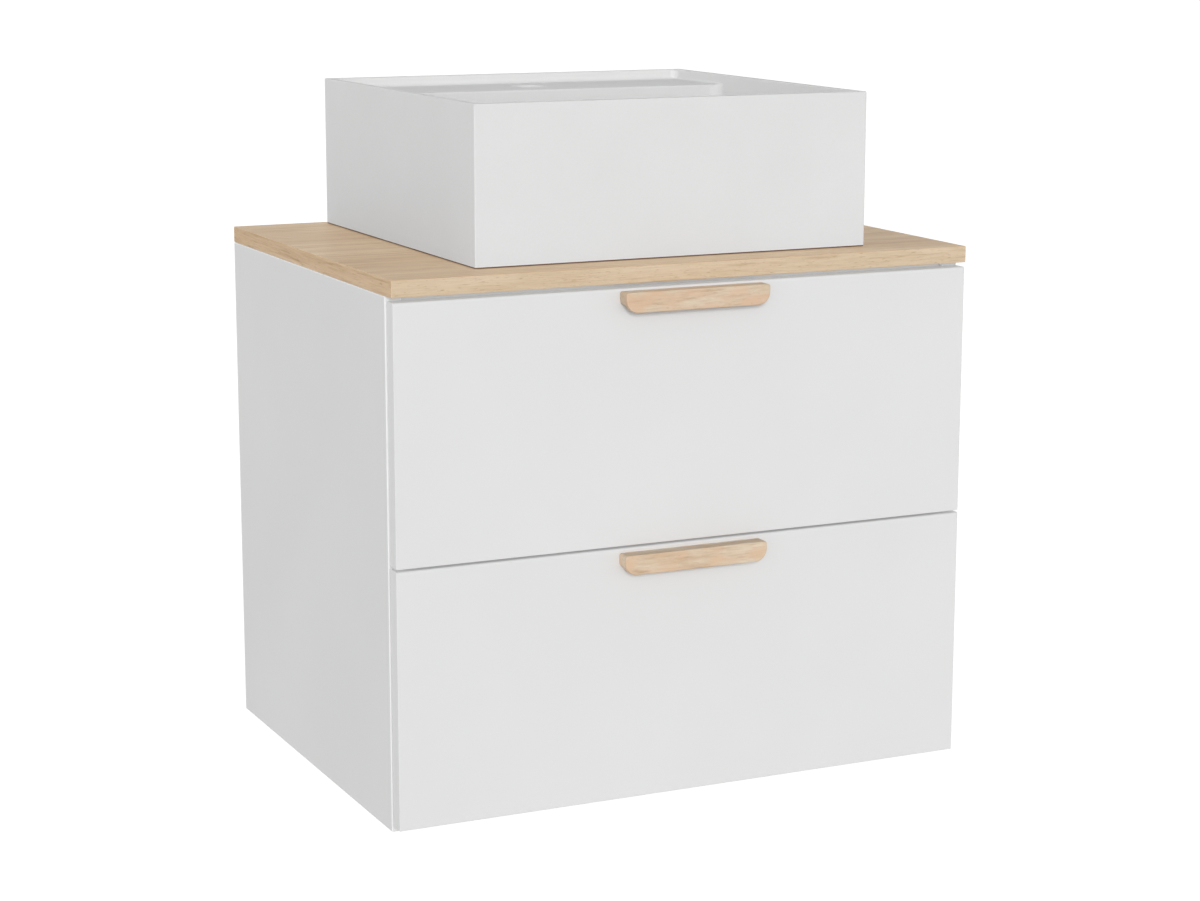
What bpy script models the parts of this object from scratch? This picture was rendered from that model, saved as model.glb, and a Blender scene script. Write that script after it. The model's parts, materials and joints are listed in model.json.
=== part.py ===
"""Wall-hung vanity: square vessel basin on an oak-look worktop over a two-drawer cabinet.

Frame: metres, +Z up, +X to the right seen from the front, +Y towards the wall.
The origin is the middle of the hanging rail's back face, on the wall plane.
Every piece is laid out in millimetres from the worktop's front top edge
(x from the cabinet's centre, y back from the worktop's front, z up from its top),
and the empty `vanity_frame` carries that layout to the wall origin.
"""

import math

import bmesh
import bpy
from mathutils import Matrix, Vector

MM = 0.001

# ---------------------------------------------------------------- driving dimensions, mm
WIDTH = 600.0            # worktop and cabinet
DEPTH = 455.0            # worktop front to wall
TOP_T = 16.0             # worktop thickness
BOARD = 16.0             # carcass boards and drawer fronts
CAB_BOTTOM = -518.0      # underside of the carcass
GAP = 0.3                # between pieces that touch
SIDE_FRONT = 17.0        # front edge of the side panels

RAIL_TOP = -TOP_T - GAP  # hanging rail, 100 high, against the wall
RAIL_H = 100.0
ORIGIN_Z = -66.0         # hanging rail's mid height: the part's origin

FRONT_W = 597.6          # drawer fronts
UPPER_FRONT = (-264.3, -20.3)   # foot and top
LOWER_FRONT = (-512.5, -266.4)

HANDLE_W = 150.0
HANDLE_H = 19.3
HANDLE_D = 15.0
UPPER_HANDLE_TOP = -22.5
LOWER_HANDLE_TOP = -270.7
HANDLE_R_LOW = 12.0
HANDLE_R_TOP = 2.5
HANDLE_LIP = 7.0         # wood left in front of the finger groove
HANDLE_SOLID = 12.0      # height that meets the front at each end
HANDLE_SCREW_X = 66.0

DRAWER_OUT = 271.0       # half width over the drawer sides
DRAWER_T = 12.0
DRAWER_Y0 = BOARD + GAP
DRAWER_Y1 = 417.0
UPPER_BOX = (-240.0, -60.0)
LOWER_BOX = (-490.0, -310.0)
SIPHON_HALF = 65.0       # clear half width of the notch round the trap
SIPHON_Y = 140.0         # where the notch starts

RUNNER_Y = (20.0, 420.0)
RUNNER_UPPER_Z = -150.0
RUNNER_LOWER_Z = -400.0

BASIN_X = 3.5            # the basin stands a little right of the cabinet's centre
BASIN_W = 411.0
BASIN_Y = (41.4, 444.2)
BASIN_TOP = 150.2
BASIN_FOOT = 0.3         # outer skirt of the foot, just clear of the worktop
BASIN_REBATE = 1.5       # underside of the foot over the gasket, inside that skirt
BASIN_WALL = 8.0
BASIN_R = 2.0
BOWL_R = 12.0
BOWL_FLOOR = 42.0
BOWL_BACK = 335.0        # where the tap deck begins
DECK_TOP = 140.0
DECK_T = 12.0
DRAIN_Y = 200.0
TAP_Y = 386.0
TAP_HOLE_R = 17.5
DRAIN_SEAT = 33.0

TRAP_Z = -170.0          # axis of the outlet to the wall
SEG = 24

# ---------------------------------------------------------------- finishes: colour, roughness, metallic
FINISH = {
    "lacquer": ((0.80, 0.80, 0.80), 0.42, 0.0),
    "melamine": ((0.78, 0.78, 0.77), 0.50, 0.0),
    "oak_top": ((0.66, 0.50, 0.33), 0.50, 0.0),
    "oak_grip": ((0.72, 0.54, 0.37), 0.48, 0.0),
    "basin": ((0.82, 0.82, 0.82), 0.30, 0.0),
    "steel": ((0.62, 0.63, 0.64), 0.38, 1.0),
    "chrome": ((0.80, 0.81, 0.82), 0.10, 1.0),
    "plastic": ((0.83, 0.83, 0.82), 0.40, 0.0),
    "rubber": ((0.05, 0.05, 0.05), 0.70, 0.0),
    "gasket": ((0.16, 0.10, 0.06), 0.65, 0.0),
}

for item in list(bpy.data.objects):
    bpy.data.objects.remove(item, do_unlink=True)


# ---------------------------------------------------------------- helpers
def make_material(name, finish):
    colour, rough, metal = FINISH[finish]
    made = bpy.data.materials.new(name)
    made.use_nodes = True
    made.diffuse_color = (*colour, 1.0)
    shader = made.node_tree.nodes["Principled BSDF"]
    shader.inputs["Base Color"].default_value = (*colour, 1.0)
    shader.inputs["Roughness"].default_value = rough
    shader.inputs["Metallic"].default_value = metal
    return made


def make_empty(name, parent, x=0.0, y=0.0, z=0.0):
    made = bpy.data.objects.new(name, None)
    bpy.context.scene.collection.objects.link(made)
    made.empty_display_size = 0.05
    made.parent = parent
    made.location = (x * MM, y * MM, z * MM)
    return made


def make_object(name, bm, parent, place, finish=None, smooth=False):
    """Takes a bmesh laid out in mm about `place`; the object stands at `place`."""
    bmesh.ops.remove_doubles(bm, verts=bm.verts, dist=0.001)
    bmesh.ops.recalc_face_normals(bm, faces=bm.faces)
    bmesh.ops.scale(bm, vec=(MM, MM, MM), verts=bm.verts)
    mesh = bpy.data.meshes.new(name)
    bm.to_mesh(mesh)
    bm.free()
    if smooth:
        mesh.shade_smooth()
        mesh.set_sharp_from_angle(angle=math.radians(35))
    made = bpy.data.objects.new(name, mesh)
    bpy.context.scene.collection.objects.link(made)
    made.parent = parent
    made.location = [c * MM for c in place]
    if finish:
        mesh.materials.append(make_material(name + "_finish", finish))
    return made


def box_mesh(x, y, z):
    """A box about the origin spanning the three (low, high) ranges."""
    bm = bmesh.new()
    bmesh.ops.create_cube(bm, size=1.0)
    bmesh.ops.scale(bm, vec=(x[1] - x[0], y[1] - y[0], z[1] - z[0]), verts=bm.verts)
    return bm


def middle(x, y, z):
    return ((x[0] + x[1]) / 2, (y[0] + y[1]) / 2, (z[0] + z[1]) / 2)


def box(name, parent, x, y, z, finish):
    return make_object(name, box_mesh(x, y, z), parent, middle(x, y, z), finish)


def prism_mesh(outline, low, high, axis="Z"):
    """A closed prism: the outline (a, b) is drawn in the plane across `axis`.

    Z: (x, y); X: (y, z); Y: (x, z).
    """
    put = {
        "Z": lambda a, b, c: (a, b, c),
        "X": lambda a, b, c: (c, a, b),
        "Y": lambda a, b, c: (a, c, b),
    }[axis]
    bm = bmesh.new()
    face = bm.faces.new([bm.verts.new(put(a, b, low)) for a, b in outline])
    grown = bmesh.ops.extrude_face_region(bm, geom=[face])
    moved = [v for v in grown["geom"] if isinstance(v, bmesh.types.BMVert)]
    bmesh.ops.translate(bm, vec=put(0.0, 0.0, high - low), verts=moved)
    bmesh.ops.recalc_face_normals(bm, faces=bm.faces)
    return bm


def rounded_outline(a0, a1, b0, b1, radii, steps=3):
    """Rectangle with a radius at each corner, from (a0, b0) anticlockwise."""
    corners = [(a0, b0, 180), (a1, b0, 270), (a1, b1, 0), (a0, b1, 90)]
    points = []
    for (a, b, start), r in zip(corners, radii):
        if r <= 0:
            points.append((a, b))
            continue
        ca = a + r if a == a0 else a - r
        cb = b + r if b == b0 else b - r
        for i in range(steps + 1):
            turn = math.radians(start + 90 * i / steps)
            points.append((ca + r * math.cos(turn), cb + r * math.sin(turn)))
    return points


def level_edges(bm, z):
    return [e for e in bm.edges if all(abs(v.co.z - z) < 1e-4 for v in e.verts)]


def round_edges(bm, edges, radius, steps):
    bmesh.ops.bevel(
        bm, geom=edges, offset=radius, segments=steps, profile=0.5, affect="EDGES", clamp_overlap=True
    )


def turned(name, parent, place, profile, finish, axis="Z", segments=SEG):
    """A solid of revolution from a closed profile of (radius, height) points.

    Points at radius 0 lie on the axis. `axis` Y turns the height towards the wall.
    """
    bm = bmesh.new()
    rings = []
    for r, h in profile:
        if r <= 1e-6:
            rings.append([bm.verts.new((0, 0, h))])
            continue
        rings.append(
            [
                bm.verts.new((r * math.cos(2 * math.pi * i / segments), r * math.sin(2 * math.pi * i / segments), h))
                for i in range(segments)
            ]
        )
    count = len(rings)
    for k in range(count):
        one, two = rings[k], rings[(k + 1) % count]
        if len(one) == 1 and len(two) == 1:
            continue
        for i in range(segments):
            j = (i + 1) % segments
            if len(one) == 1:
                bm.faces.new((one[0], two[j], two[i]))
            elif len(two) == 1:
                bm.faces.new((one[i], one[j], two[0]))
            else:
                bm.faces.new((one[i], one[j], two[j], two[i]))
    if axis == "Y":
        bmesh.ops.rotate(bm, cent=(0, 0, 0), matrix=Matrix.Rotation(math.radians(-90), 3, "X"), verts=bm.verts)
    return make_object(name, bm, parent, place, finish, smooth=True)


def cutter(name, bm, parent, place):
    made = make_object(name, bm, parent, place)
    made.hide_render = True
    made.display_type = "WIRE"
    return made


def round_cutter(name, parent, place, radius, low, high, axis="Z", segments=SEG):
    bm = bmesh.new()
    bmesh.ops.create_cone(
        bm, cap_ends=True, segments=segments, radius1=radius, radius2=radius, depth=high - low
    )
    bmesh.ops.translate(bm, vec=(0, 0, (low + high) / 2), verts=bm.verts)
    if axis == "Y":
        bmesh.ops.rotate(bm, cent=(0, 0, 0), matrix=Matrix.Rotation(math.radians(-90), 3, "X"), verts=bm.verts)
    return cutter(name, bm, parent, place)


def boolean(target, tool, operation="DIFFERENCE"):
    step = target.modifiers.new(tool.name, "BOOLEAN")
    step.operation = operation
    step.solver = "EXACT"
    step.object = tool


# ---------------------------------------------------------------- frames
frame = make_empty("vanity_frame", None)
frame.location = (0.0, -DEPTH * MM, -ORIGIN_Z * MM)
basin_axis = make_empty("basin_axis", frame, x=BASIN_X)
upper_frame = make_empty("upper_drawer_frame", frame, z=RUNNER_UPPER_Z)
lower_frame = make_empty("lower_drawer_frame", frame, z=RUNNER_LOWER_Z)
upper_mid_frame = make_empty("upper_runner_mid_frame", frame, z=RUNNER_UPPER_Z)
lower_mid_frame = make_empty("lower_runner_mid_frame", frame, z=RUNNER_LOWER_Z)
plug_frame = make_empty("waste_plug_frame", basin_axis, y=DRAIN_Y)

HALF = WIDTH / 2
INSIDE = HALF - BOARD - GAP  # half width between the side panels

# ---------------------------------------------------------------- carcass
for side, sign in (("left", -1), ("right", 1)):
    inner, outer = sorted((sign * (HALF - BOARD), sign * HALF))
    box(f"side_panel_{side}", frame, (inner, outer), (SIDE_FRONT, DEPTH), (CAB_BOTTOM, -TOP_T - GAP), "lacquer")

box("bottom_panel", frame, (-INSIDE, INSIDE), (SIDE_FRONT + 1, DEPTH), (CAB_BOTTOM, CAB_BOTTOM + BOARD), "melamine")
box("front_rail", frame, (-INSIDE, INSIDE), (22.0, 102.0), (-TOP_T - GAP - BOARD, -TOP_T - GAP), "melamine")

# Hanging rail: its two upper corners are cut away for the cabinet hangers' hooks.
NOTCH_W, NOTCH_H = 48.0, 50.0
rail_low, rail_high = RAIL_TOP - RAIL_H, RAIL_TOP
rail_outline = [
    (-INSIDE, rail_low - ORIGIN_Z),
    (INSIDE, rail_low - ORIGIN_Z),
    (INSIDE, rail_high - NOTCH_H - ORIGIN_Z),
    (INSIDE - NOTCH_W, rail_high - NOTCH_H - ORIGIN_Z),
    (INSIDE - NOTCH_W, rail_high - ORIGIN_Z),
    (-INSIDE + NOTCH_W, rail_high - ORIGIN_Z),
    (-INSIDE + NOTCH_W, rail_high - NOTCH_H - ORIGIN_Z),
    (-INSIDE, rail_high - NOTCH_H - ORIGIN_Z),
]
make_object(
    "hanging_rail", prism_mesh(rail_outline, -BOARD / 2, BOARD / 2, "Y"), frame, (0, DEPTH - BOARD / 2, ORIGIN_Z), "melamine"
)
box(
    "lower_back_rail",
    frame,
    (-INSIDE, INSIDE),
    (DEPTH - BOARD, DEPTH),
    (CAB_BOTTOM + BOARD + GAP, CAB_BOTTOM + BOARD + GAP + 100.0),
    "melamine",
)

# ---------------------------------------------------------------- hangers and their wall plates
HANG_Z = -44.0
for side, sign in (("left", -1), ("right", 1)):

    def mirrored(a, b):
        return tuple(sorted((sign * a, sign * b)))

    # Steel body bolted to the side panel; its tongue reaches through the rail's notch and hooks down.
    hanger = [
        (376.0, -24.0),
        (432.0, -24.0),
        (437.0, -12.0),
        (449.8, -12.0),
        (449.8, -19.0),
        (452.8, -19.0),
        (452.8, -8.0),
        (449.0, -4.0),
        (438.0, -4.0),
        (434.0, 22.0),
        (376.0, 22.0),
    ]
    x = mirrored(INSIDE, INSIDE - 9.0)
    bm = prism_mesh([(a - 414.0, b) for a, b in hanger], (x[0] - x[1]) / 2, (x[1] - x[0]) / 2, "X")
    make_object(f"cabinet_hanger_{side}", bm, frame, ((x[0] + x[1]) / 2, 414.0, HANG_Z), "steel")

    # Plate screwed to the wall, folded up at the foot into the lip that the hook drops behind.
    plate = [
        (0.0, -22.0),
        (0.0, 22.0),
        (-1.8, 22.0),
        (-1.8, -19.4),
        (-5.5, -19.4),
        (-5.5, -12.4),
        (-7.3, -12.4),
        (-7.3, -22.0),
    ]
    x = mirrored(INSIDE - 1.0, INSIDE - 44.0)
    bm = prism_mesh(plate, (x[0] - x[1]) / 2, (x[1] - x[0]) / 2, "X")
    make_object(f"wall_plate_{side}", bm, frame, ((x[0] + x[1]) / 2, DEPTH, HANG_Z), "steel")

    # Plastic cap over the hanger: a tray with its open side to the panel.
    x = mirrored(INSIDE, INSIDE - 11.5)
    y, z = (372.5, 436.5), (-71.5, -18.5)
    bm = box_mesh(x, y, z)
    cap = make_object(f"hanger_cover_{side}", bm, frame, middle(x, y, z), "plastic")
    xi = mirrored(INSIDE + 2.0, INSIDE - 9.9)
    yi, zi = (374.5, 438.0), (-69.5, -20.5)
    boolean(cap, cutter(f"hanger_cover_{side}_hollow", box_mesh(xi, yi, zi), frame, middle(xi, yi, zi)))

# ---------------------------------------------------------------- runners: outer, middle and inner members
R0, R1 = RUNNER_Y
RL = (R1 - R0) / 2
RC = (R0 + R1) / 2


def channel(name, parent, web, tip, half, sheet, finish="steel"):
    """A C channel along Y. The web's back is at x=web, the flanges reach x=tip and stand at +-half."""
    way = 1 if tip > web else -1
    outline = [
        (web, -half),
        (tip, -half),
        (tip, -half + sheet),
        (web + way * sheet, -half + sheet),
        (web + way * sheet, half - sheet),
        (tip, half - sheet),
        (tip, half),
        (web, half),
    ]
    return make_object(name, prism_mesh(outline, -RL, RL, "Y"), parent, (0, RC, 0), finish)


SHEET = 1.2
for level, z, mid_parent, drawer_parent in (
    ("upper", RUNNER_UPPER_Z, upper_mid_frame, upper_frame),
    ("lower", RUNNER_LOWER_Z, lower_mid_frame, lower_frame),
):
    fixed = make_empty(f"{level}_runner_frame", frame, z=z)
    for side, sign in (("left", -1), ("right", 1)):
        channel(f"{level}_runner_outer_{side}", fixed, sign * INSIDE, sign * 276.0, 22.5, SHEET)
        channel(f"{level}_runner_mid_{side}", mid_parent, sign * 281.2, sign * 273.6, 20.0, SHEET)
        channel(f"{level}_runner_inner_{side}", drawer_parent, sign * (DRAWER_OUT + GAP), sign * 278.6, 16.8, SHEET)

# ---------------------------------------------------------------- worktop
worktop = box("worktop", frame, (-HALF, HALF), (0.0, DEPTH), (-TOP_T, 0.0), "oak_top")
boolean(worktop, round_cutter("worktop_waste_hole", basin_axis, (0, DRAIN_Y, 0), 25.0, -TOP_T - 5, 5.0))
boolean(worktop, round_cutter("worktop_tap_hole", basin_axis, (0, TAP_Y, 0), 22.5, -TOP_T - 5, 5.0))

# ---------------------------------------------------------------- basin
bx = BASIN_W / 2
by0, by1 = BASIN_Y
ix = bx - BASIN_WALL
iy0, iy1 = by0 + BASIN_WALL, by1 - BASIN_WALL
body = prism_mesh(rounded_outline(-bx, bx, by0, by1, [BASIN_R] * 4, 3), BASIN_FOOT, BASIN_TOP)
round_edges(body, level_edges(body, BASIN_FOOT), 0.6, 1)
basin = make_object("basin", body, basin_axis, (0, 0, 0), "basin")

bowl = prism_mesh(rounded_outline(-ix, ix, iy0, BOWL_BACK, [BOWL_R] * 4, 3), BOWL_FLOOR, BASIN_TOP + 10)
round_edges(bowl, level_edges(bowl, BOWL_FLOOR), 9.0, 2)
# The floor falls to the drain: its one flat face becomes a fan round a lower point.
floor = min(bowl.faces, key=lambda f: f.calc_center_median().z)
fan = bmesh.ops.poke(bowl, faces=[floor])["verts"][0]
fan.co = Vector((0.0, DRAIN_Y, BOWL_FLOOR - 6.0))
boolean(basin, cutter("basin_bowl", bowl, basin_axis, (0, 0, 0)))

deck = prism_mesh(rounded_outline(-ix, ix, 290.0, iy1, [0, 0, 8.0, 8.0], 3), DECK_TOP, BASIN_TOP + 10)
boolean(basin, cutter("basin_deck_pocket", deck, basin_axis, (0, 0, 0)))

# Hollow underside: low under the bowl, high under the tap deck so that a tap's nut can be reached.
under = prism_mesh(
    [(iy0 + 2, -10.0), (iy1, -10.0), (iy1, DECK_TOP - DECK_T), (BOWL_BACK + 8.0, DECK_TOP - DECK_T), (BOWL_BACK + 8.0, 21.0), (iy0 + 2, 21.0)],
    -ix,
    ix,
    "X",
)
boolean(basin, cutter("basin_underside", under, basin_axis, (0, 0, 0)))
boolean(basin, round_cutter("basin_drain_seat", basin_axis, (0, DRAIN_Y, 0), 34.0, DRAIN_SEAT, DRAIN_SEAT + 30))
boolean(basin, round_cutter("basin_drain_hole", basin_axis, (0, DRAIN_Y, 0), 22.5, 5.0, DRAIN_SEAT + 20))
boolean(basin, round_cutter("basin_tap_hole", basin_axis, (0, TAP_Y, 0), TAP_HOLE_R, DECK_TOP - DECK_T - 10, DECK_TOP + 5))

rebate = prism_mesh(rounded_outline(-bx + 3.0, bx - 3.0, by0 + 3.0, by1 - 3.0, [1.2] * 4, 2), -3.0, BASIN_REBATE)
boolean(basin, cutter("basin_foot_rebate", rebate, basin_axis, (0, 0, 0)))

# Gasket between the basin's foot and the worktop: a rectangular ring in the rebate, hidden by the skirt.
ring = prism_mesh(rounded_outline(-bx + 3.3, bx - 3.3, by0 + 3.3, by1 - 3.3, [1.0] * 4, 2), GAP, BASIN_REBATE - GAP)
gasket = make_object("basin_gasket", ring, basin_axis, (0, 0, 0), "gasket")
hole = prism_mesh(rounded_outline(-ix, ix, iy0 + 2, iy1, [0] * 4), -3.0, 4.0)
boolean(gasket, cutter("basin_gasket_middle", hole, basin_axis, (0, 0, 0)))

# ---------------------------------------------------------------- waste: flange, seals, back nut, plug
at_drain = (0, DRAIN_Y, 0)
WASTE_R, WASTE_BORE = 20.9, 18.4
WASTE_FOOT = -66.0
seat = DRAIN_SEAT
waste = turned(
    "waste_body",
    basin_axis,
    at_drain,
    [
        (WASTE_BORE, WASTE_FOOT),
        (WASTE_R, WASTE_FOOT),
        (WASTE_R, seat + 2.1),
        (31.5, seat + 2.1),
        (31.5, seat + 3.5),
        (29.0, seat + 4.4),
        (WASTE_BORE, seat + 4.4),
    ],
    "chrome",
)
# Two arms across the bore carry the boss that guides the plug's stem.
spider = bmesh.new()
bmesh.ops.create_cube(spider, size=1.0)
bmesh.ops.scale(spider, vec=(2 * WASTE_BORE + 2.4, 4.0, 8.0), verts=spider.verts)
boolean(waste, cutter("waste_spider", spider, basin_axis, (0, DRAIN_Y, 8.0)), "UNION")
boss = bmesh.new()
bmesh.ops.create_cone(boss, cap_ends=True, segments=16, radius1=7.5, radius2=7.5, depth=16.0)
boolean(waste, cutter("waste_boss", boss, basin_axis, (0, DRAIN_Y, 8.0)), "UNION")
boolean(waste, round_cutter("waste_boss_bore", basin_axis, (0, DRAIN_Y, 0), 4.5, -20.0, 30.0, segments=16))

turned(
    "waste_seal_upper",
    basin_axis,
    at_drain,
    [(WASTE_R + GAP, seat + GAP), (30.0, seat + GAP), (30.0, seat + 1.8), (WASTE_R + GAP, seat + 1.8)],
    "rubber",
)
turned(
    "waste_seal_lower",
    basin_axis,
    at_drain,
    [(WASTE_R + GAP, -22.0), (35.0, -22.0), (35.0, -TOP_T - GAP), (WASTE_R + GAP, -TOP_T - GAP)],
    "rubber",
)
turned(
    "waste_nut",
    basin_axis,
    at_drain,
    [(WASTE_R + GAP, -33.0), (29.0, -33.0), (32.0, -30.0), (32.0, -22.3), (WASTE_R + GAP, -22.3)],
    "plastic",
)
cap_low = seat + 4.7
turned(
    "waste_plug",
    plug_frame,
    (0, 0, 0),
    [
        (0.0, -14.0),
        (4.1, -14.0),
        (4.1, cap_low),
        (29.5, cap_low),
        (31.0, cap_low + 1.6),
        (29.0, cap_low + 3.6),
        (20.0, cap_low + 5.0),
        (0.0, cap_low + 5.6),
    ],
    "chrome",
)

# ---------------------------------------------------------------- bottle trap and outlet to the wall
turned(
    "trap_tailpiece",
    basin_axis,
    at_drain,
    [
        (14.4, -238.0),
        (16.0, -238.0),
        (16.0, WASTE_FOOT - 3.3),
        (20.5, WASTE_FOOT - 3.3),
        (20.5, WASTE_FOOT - GAP),
        (14.4, WASTE_FOOT - GAP),
    ],
    "plastic",
)
turned(
    "trap_inlet_nut",
    basin_axis,
    at_drain,
    [
        (16.4, WASTE_FOOT - 7.6),
        (24.0, WASTE_FOOT - 7.6),
        (26.5, WASTE_FOOT - 5.0),
        (26.5, WASTE_FOOT + 12.0),
        (21.3, WASTE_FOOT + 12.0),
        (21.3, WASTE_FOOT - 3.6),
        (16.4, WASTE_FOOT - 3.6),
    ],
    "plastic",
)
trap = turned(
    "trap_body",
    basin_axis,
    at_drain,
    [
        (26.4, -204.0),
        (29.6, -204.0),
        (29.6, -194.0),
        (33.0, -194.0),
        (33.0, -148.0),
        (24.0, -138.0),
        (16.5, -138.0),
        (16.5, -143.0),
        (26.4, -150.0),
    ],
    "plastic",
)
spout = bmesh.new()
bmesh.ops.create_cone(spout, cap_ends=True, segments=SEG, radius1=19.5, radius2=19.5, depth=44.0)
bmesh.ops.rotate(spout, cent=(0, 0, 0), matrix=Matrix.Rotation(math.radians(-90), 3, "X"), verts=spout.verts)
boolean(trap, cutter("trap_spout", spout, basin_axis, (0, DRAIN_Y + 50.0, TRAP_Z)), "UNION")
boolean(trap, round_cutter("trap_spout_bore", basin_axis, (0, DRAIN_Y + 22.0, TRAP_Z), 16.4, 0.0, 60.0, axis="Y"))

turned(
    "trap_cup",
    basin_axis,
    at_drain,
    [
        (0.0, -262.0),
        (24.0, -262.0),
        (31.0, -256.0),
        (34.5, -240.0),
        (34.5, -196.0),
        (34.5, -194.3),
        (29.95, -194.3),
        (29.95, -204.5),
        (31.0, -206.0),
        (31.0, -240.0),
        (28.0, -253.0),
        (22.0, -258.5),
        (0.0, -258.5),
    ],
    "plastic",
)
turned(
    "trap_outlet_nut",
    basin_axis,
    (0, DRAIN_Y + 56.0, TRAP_Z),
    [
        (19.9, 0.0),
        (25.0, 0.0),
        (25.0, 15.0),
        (22.0, 21.0),
        (16.4, 21.0),
        (16.4, 16.6),
        (19.9, 16.6),
    ],
    "plastic",
    axis="Y",
)
turned(
    "trap_outlet_pipe",
    basin_axis,
    (0, DRAIN_Y + 40.0, TRAP_Z),
    [(14.4, 0.0), (16.0, 0.0), (16.0, DEPTH - DRAIN_Y - 40.0), (14.4, DEPTH - DRAIN_Y - 40.0)],
    "plastic",
    axis="Y",
)
turned(
    "wall_rosette",
    basin_axis,
    (0, DEPTH, TRAP_Z),
    [(16.4, -9.0), (20.0, -9.0), (30.0, -4.0), (32.0, 0.0), (29.8, 0.0), (28.4, -2.4), (19.6, -7.0), (16.4, -7.0)],
    "plastic",
    axis="Y",
)

# ---------------------------------------------------------------- drawers


def handle(name, parent, top):
    """Bar grip with rounded lower corners, undercut along its foot, with a taller finger groove between the screws."""
    half = HANDLE_W / 2
    outline = rounded_outline(
        -half, half, -HANDLE_H, 0.0, [HANDLE_R_LOW, HANDLE_R_LOW, HANDLE_R_TOP, HANDLE_R_TOP], 4
    )
    grip = make_object(name, prism_mesh(outline, -HANDLE_D, -GAP, "Y"), parent, (0, 0, top), "oak_grip")
    groove = prism_mesh(
        rounded_outline(-56.0, 56.0, -HANDLE_H - 5, -6.0, [0, 0, 6.0, 6.0], 3), -HANDLE_D + HANDLE_LIP, 5.0, "Y"
    )
    boolean(grip, cutter(name + "_groove", groove, parent, (0, 0, top)))
    undercut = box_mesh((-half - 5, half + 5), (-HANDLE_D + HANDLE_LIP, 5.0), (-HANDLE_H - 5, -HANDLE_SOLID))
    boolean(grip, cutter(name + "_undercut", undercut, parent, (0, 0, top)))
    for side, sign in (("left", -1), ("right", 1)):
        boolean(
            grip,
            round_cutter(
                f"{name}_pilot_{side}", parent, (sign * HANDLE_SCREW_X, 0, top - 8.5), 2.3, -11.0, 5.0, axis="Y", segments=12
            ),
        )
    return grip


def handle_screw(name, parent, x, z):
    turned(
        name,
        parent,
        (x, 0, z),
        [
            (0.0, -10.0),
            (2.0, -10.0),
            (2.0, BOARD + GAP),
            (4.2, BOARD + GAP),
            (4.2, BOARD + 1.2),
            (3.0, BOARD + 2.6),
            (0.0, BOARD + 2.6),
        ],
        "steel",
        axis="Y",
        segments=12,
    )


def drawer(level, parent, origin_z, front_span, grip_top, span, siphon):
    def at(z):
        return z - origin_z

    front = box(
        f"{level}_drawer_front",
        parent,
        (-FRONT_W / 2, FRONT_W / 2),
        (0.0, BOARD),
        (at(front_span[0]), at(front_span[1])),
        "lacquer",
    )
    grip_top = at(grip_top)
    for side, sign in (("left", -1), ("right", 1)):
        boolean(
            front,
            round_cutter(
                f"{level}_front_bore_{side}", parent, (sign * HANDLE_SCREW_X, 0, grip_top - 8.5), 2.3, -5.0, BOARD + 5, axis="Y",
                segments=12,
            ),
        )
        handle_screw(f"{level}_handle_screw_{side}", parent, sign * HANDLE_SCREW_X, grip_top - 8.5)
    handle(f"{level}_handle", parent, grip_top)

    low, high = at(span[0]), at(span[1])
    for side, sign in (("left", -1), ("right", 1)):
        x = tuple(sorted((sign * (DRAWER_OUT - DRAWER_T), sign * DRAWER_OUT)))
        box(f"{level}_drawer_side_{side}", parent, x, (DRAWER_Y0, DRAWER_Y1), (low, high), "melamine")
    inner = DRAWER_OUT - DRAWER_T - GAP
    bottom_top = low + DRAWER_T
    wall = (bottom_top + GAP, high)
    if not siphon:
        box(f"{level}_drawer_bottom", parent, (-inner, inner), (DRAWER_Y0, DRAWER_Y1), (low, bottom_top), "melamine")
        box(f"{level}_drawer_back", parent, (-inner, inner), (DRAWER_Y1 - DRAWER_T, DRAWER_Y1), wall, "melamine")
        return
    # The bottom is a U round the trap, open at the back; low walls line the notch.
    outline = [
        (-inner, DRAWER_Y0),
        (inner, DRAWER_Y0),
        (inner, DRAWER_Y1),
        (SIPHON_HALF, DRAWER_Y1),
        (SIPHON_HALF, SIPHON_Y),
        (-SIPHON_HALF, SIPHON_Y),
        (-SIPHON_HALF, DRAWER_Y1),
        (-inner, DRAWER_Y1),
    ]
    make_object(f"{level}_drawer_bottom", prism_mesh(outline, low, bottom_top), parent, (0, 0, 0), "melamine")
    lining = SIPHON_HALF + DRAWER_T
    box(f"{level}_siphon_wall_front", parent, (-lining, lining), (SIPHON_Y - DRAWER_T, SIPHON_Y), wall, "melamine")
    for side, sign in (("left", -1), ("right", 1)):
        x = tuple(sorted((sign * SIPHON_HALF, sign * lining)))
        box(f"{level}_siphon_wall_{side}", parent, x, (SIPHON_Y + GAP, DRAWER_Y1), wall, "melamine")
        x = tuple(sorted((sign * (lining + GAP), sign * inner)))
        box(f"{level}_drawer_back_{side}", parent, x, (DRAWER_Y1 - DRAWER_T, DRAWER_Y1), wall, "melamine")


drawer("upper", upper_frame, RUNNER_UPPER_Z, UPPER_FRONT, UPPER_HANDLE_TOP, UPPER_BOX, siphon=True)
drawer("lower", lower_frame, RUNNER_LOWER_Z, LOWER_FRONT, LOWER_HANDLE_TOP, LOWER_BOX, siphon=False)
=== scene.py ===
"""Looks for the wall-hung vanity: fine meshes, materials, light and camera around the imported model."""

import json
import math

import bmesh
import bpy
from mathutils import Matrix, Vector

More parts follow.
